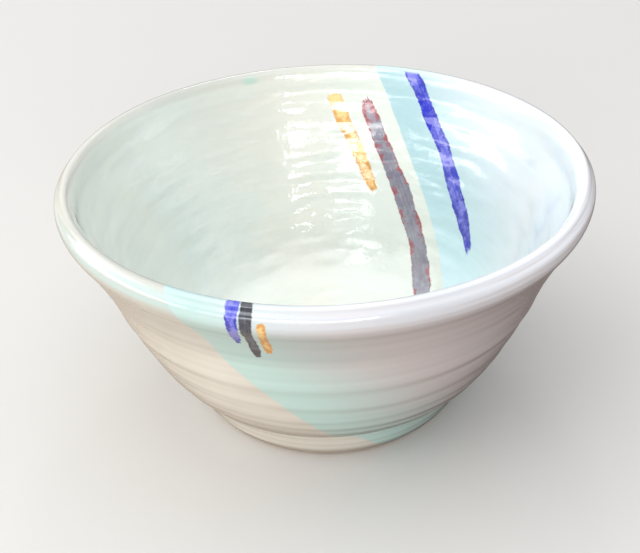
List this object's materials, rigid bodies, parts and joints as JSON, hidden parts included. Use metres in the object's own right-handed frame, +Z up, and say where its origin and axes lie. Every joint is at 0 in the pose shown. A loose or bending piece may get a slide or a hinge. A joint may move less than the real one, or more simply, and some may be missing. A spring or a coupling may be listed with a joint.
{
  "type": "ceramic bowl",
  "caption": "Wheel-thrown ceramic bowl with a flared wall, a rolled rim and a trimmed foot ring, glazed white with a slanting pale aqua dip.",
  "frame": {"origin": "centre of the foot's standing plane, under the middle of the bowl", "axes": "+Z up the bowl's axis of turning, through the open mouth; -Y is the side that faces the viewer, with +X to the right"},
  "size_m": [0.16, 0.16, 0.08],
  "materials": {
    "glaze": "Glossy off-white glaze over fired clay, with a pale aqua dip that crosses the bowl on a slant, and bare clay on the foot's standing face."
  },
  "bodies": {
    "root": {"bowl": "glaze"}
  },
  "joints": []
}
